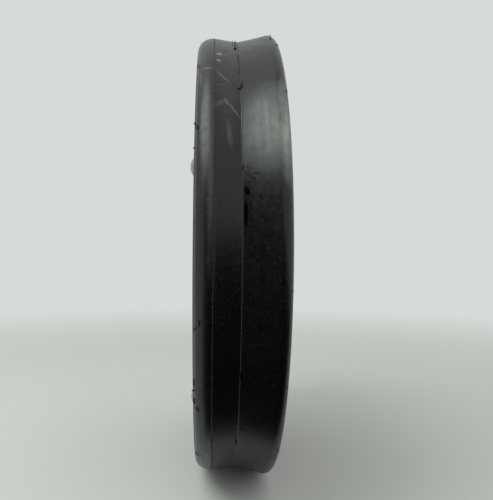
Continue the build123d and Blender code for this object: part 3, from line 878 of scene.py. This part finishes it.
def turnedMetal(name, look):
    # bright metal with fine rings left by grinding or pressing round the axle
    material, tree, shader, place = startMaterial(name, look)
    fromAxle, alongAxle = roundAxle(tree, place)[1:]
    ringPlace = addNode(tree, "ShaderNodeCombineXYZ", {}, {"X": fromAxle, "Y": alongAxle})
    rings = patchMask(tree, ringPlace.outputs[0], look["rings"])
    oil = patchMask(tree, place, look["oil"])
    layColours(tree, shader, look["colour"], ((rings, look["rings"]["colour"]), (oil, look["oil"]["colour"])))
    roughness = addNode(tree, "ShaderNodeMapRange", {
        "To Min": look["Roughness"], "To Max": look["ringRoughness"],
    }, {"Value": rings})
    tree.links.new(roughness.outputs[0], shader.inputs["Roughness"])
    stackRelief(tree, shader, [(rings, look["ringDepth"])])
    return material


# Bearing rings and balls, hardened steel ground and lapped: near mirror, thin oil film
bearingLook = {
    "colour": "#d2d4d5", "Metallic": 1.0, "Roughness": 0.14, "ringRoughness": 0.30,
    "rings": {"colour": "#bcbfc2", "size": 0.3, "between": (0.3, 0.7), "detail": 2.0},  # mm; drawn coarse
    "oil": {"colour": "#a89d84", "size": 3.0, "between": (0.45, 0.7), "gives": (0.0, 0.35)},
    "ringDepth": 0.004,
}
dress(
    ("bearing_outer_ring", "bearing_inner_ring", "bearing_balls"),
    turnedMetal("groundBearingSteel", bearingLook),
)

# Plates of the seals, pressed from cold-rolled sheet: duller, with wider rings
platesLook = {
    "colour": "#b3b5b6", "Metallic": 1.0, "Roughness": 0.28, "ringRoughness": 0.44,
    "rings": {"colour": "#9a9d9f", "size": 0.5, "between": (0.3, 0.7), "detail": 2.0},  # mm; drawn coarse
    "oil": {"colour": "#8a8475", "size": 3.0, "between": (0.45, 0.7), "gives": (0.0, 0.3)},
    "ringDepth": 0.01,
}
dress(("outboard_seal_plate", "inboard_seal_plate"), turnedMetal("pressedSealSteel", platesLook))
print("materials ready")


# Carriage bolts with rolled threads and lock nuts with chamfered corners
boltSizes = {
    "shank": 3.97, "head": 9.1, "headHeight": 4.6, "headEdge": 0.5, "headSteps": 10,
    "domeInset": 0.12, "domeTop": 0.02, "edgeRound": 0.16, "faceInset": 0.1,
    "neck": 8.02, "neckLength": 3.6, "neckRound": 0.6, "neckRun": 0.3,
    "pitch": 1.41, "threadDepth": 0.42, "threaded": 16.0, "rowsPerPitch": 8,
    "ridgeSlope": 1.25, "ridgeFlat": 0.06, "threadSlack": 0.02,
    "lead": 0.8, "leadCut": 0.5, "tip": 2.9, "tipDish": 0.05,
    "steps": 36,
}
nutSizes = {
    "apothem": 6.35, "height": 8.3, "collarHeight": 2.2, "collar": 5.6, "collarLip": 0.5,
    "collarFoot": 0.25, "collarSteps": 6, "rollStart": 30, "faceInset": 0.25,
    "insert": 4.95, "insertDrop": 0.15, "insertGap": 0.02,
    "bore": 4.02, "mouth": 0.45, "mouthDepth": 0.5,
    "chamfer": 0.75, "chamferSlope": 0.58, "chamferSteps": 3, "steps": 72,
}
boltRings = {
    "rim": {"circle": 140.8, "start": 28, "count": 4, "headY": -32.0, "endY": 12.4, "nutY": 0.65},
    "hub": {"circle": 38.03, "start": 73, "count": 4, "headY": -27.0, "endY": 11.1, "nutY": 0.15},
}


def lathed(rings, steps):
    # rings of (y, radius at this angle), joined into one closed surface round Y
    points, faces = [], []
    for y, radiusAt in rings:
        for k in range(steps):
            a = 2 * math.pi * k / steps
            radius = radiusAt(a)
            points.append((radius * math.cos(a), y, radius * math.sin(a)))
    for i in range(len(rings) - 1):
        for k in range(steps):
            n = (k + 1) % steps
            faces.append((i * steps + k, (i + 1) * steps + k, (i + 1) * steps + n, i * steps + n))
    return points, faces


def boltShape(s, headY, endY):
    # from the crown of the head to the rounded end of the thread
    rings = []
    domeRadius = (s["head"] ** 2 + s["headHeight"] ** 2) / (2 * s["headHeight"])
    crownY = headY - s["headHeight"]
    edgeY = headY - s["headEdge"]
    for i in range(s["headSteps"] + 1):
        outward = math.sin(math.radians(90 * i / s["headSteps"]))
        radius = max((s["head"] - s["domeInset"]) * outward, s["domeTop"])
        y = crownY + domeRadius - math.sqrt(domeRadius ** 2 - radius ** 2)
        rings.append((min(y, edgeY), lambda a, r=radius: r))
    rings.append((headY - s["edgeRound"], lambda a: s["head"]))
    rings.append((headY, lambda a: s["head"] - s["faceInset"]))
    half, corner = s["neck"] / 2, s["neckRound"]

    def square(a):
        # a square with rounded corners, as a distance from its middle
        side = half / max(abs(math.cos(a)), abs(math.sin(a)))
        return min(side, math.hypot(half - corner, half - corner) + corner)

    rings.append((headY, square))
    rings.append((headY + s["neckLength"] - s["neckRun"], square))
    rings.append((headY + s["neckLength"], lambda a: s["shank"]))
    threadStart = endY - s["threaded"]
    rings.append((threadStart, lambda a: s["shank"]))
    rows = int(s["threaded"] / s["pitch"] * s["rowsPerPitch"])
    for i in range(1, rows + 1):
        y = threadStart + s["threaded"] * i / rows
        grow = min(1.0, (y - threadStart) / (2 * s["pitch"]))
        taper = max(0.0, (y - (endY - s["lead"])) / s["lead"])

        def thread(a, y=y, grow=grow, taper=taper):
            phase = ((y - threadStart) / s["pitch"] - a / (2 * math.pi)) % 1.0
            ridge = min(1.0, max(0.0, s["ridgeSlope"] * abs(2 * phase - 1) - s["ridgeFlat"]))
            groove = s["threadDepth"] * grow * (1 - ridge)
            return s["shank"] - s["threadSlack"] - groove - s["leadCut"] * taper

        rings.append((y, thread))
    rings.append((endY, lambda a: s["tip"]))
    rings.append((endY - s["tipDish"], lambda a: s["domeTop"]))
    return lathed(rings, s["steps"])


def nutShape(s, seatY):
    # from the mouth of the bore, up the outside and down the bore again
    top = seatY + s["height"]
    shoulderY = top - s["collarHeight"]
    sixth = math.radians(60)
    corner = s["apothem"] / math.cos(sixth / 2)
    chamfer, slope = s["chamfer"], s["chamferSlope"]

    def hexagon(cut):
        # the chamfer turns the corners round and leaves the flats
        def radiusAt(a):
            flat = s["apothem"] / math.cos(a % sixth - sixth / 2)
            return min(flat, corner - cut)
        return radiusAt

    rings = [
        (seatY, lambda a: s["bore"] + s["mouth"]),
        (seatY, lambda a: s["apothem"] - s["faceInset"]),
    ]
    shares = [i / s["chamferSteps"] for i in range(s["chamferSteps"] + 1)]
    rings.extend((seatY + chamfer * slope * t, hexagon(chamfer * (1 - t))) for t in shares)
    rings.extend((shoulderY - chamfer * slope * (1 - t), hexagon(chamfer * t)) for t in shares)
    rings.append((shoulderY, lambda a: s["collar"] + s["collarFoot"]))
    # the collar stands straight and then rolls inward over the insert
    straight = s["collarHeight"] - s["collarFoot"] - s["collarLip"]
    for i in range(s["collarSteps"] + 1):
        roll = math.radians(90 * i / s["collarSteps"])
        rise = math.sin(roll - math.radians(s["rollStart"])) / math.sin(math.radians(90 - s["rollStart"]))
        radius = s["collar"] - (s["collar"] - s["insert"]) * (1 - math.cos(roll))
        y = shoulderY + s["collarFoot"] + straight * min(1, i / 2) + s["collarLip"] * max(0.0, rise)
        rings.append((y, lambda a, r=radius: r))
    rings.extend((
        (top - s["insertDrop"], lambda a: s["insert"]),
        (shoulderY + s["insertGap"], lambda a: s["insert"]),
        (shoulderY + s["insertGap"], lambda a: s["bore"]),
        (seatY + s["mouthDepth"], lambda a: s["bore"]),
        (seatY, lambda a: s["bore"] + s["mouth"]),
    ))
    return lathed(rings, s["steps"])


def groupMesh(name, shape, ring, sharpAngle=32, weld=0.005):
    # the same shape at each bolt of the ring
    points, faces = [], []
    for k in range(ring["count"]):
        turn = math.radians(ring["start"] + 360 / ring["count"] * k)
        place = Vector((ring["circle"] * math.cos(turn), 0, ring["circle"] * math.sin(turn)))
        first = len(points)
        for point in shape[0]:
            # turned about the axle with its bolt, so that it lies as the CAD solid does
            x = point[0] * math.cos(turn) - point[2] * math.sin(turn)
            z = point[0] * math.sin(turn) + point[2] * math.cos(turn)
            points.append((place + Vector((x, point[1], z))) * mm)
        faces.extend(tuple(first + i for i in face) for face in shape[1])
    return smoothMesh(name, points, faces, sharpAngle, weld)


for ringName, ring in boltRings.items():
    addObject(
        ringName + "BoltsThreaded",
        groupMesh(ringName + "BoltsThreaded", boltShape(boltSizes, ring["headY"], ring["endY"]), ring),
        zincPlate, "wheel", (ringName + "_bolts",)
    )
    addObject(
        ringName + "NutsChamfered",
        groupMesh(ringName + "NutsChamfered", nutShape(nutSizes, ring["nutY"]), ring),
        zincPlate, "wheel", (ringName + "_nuts",)
    )
print("fasteners ready")
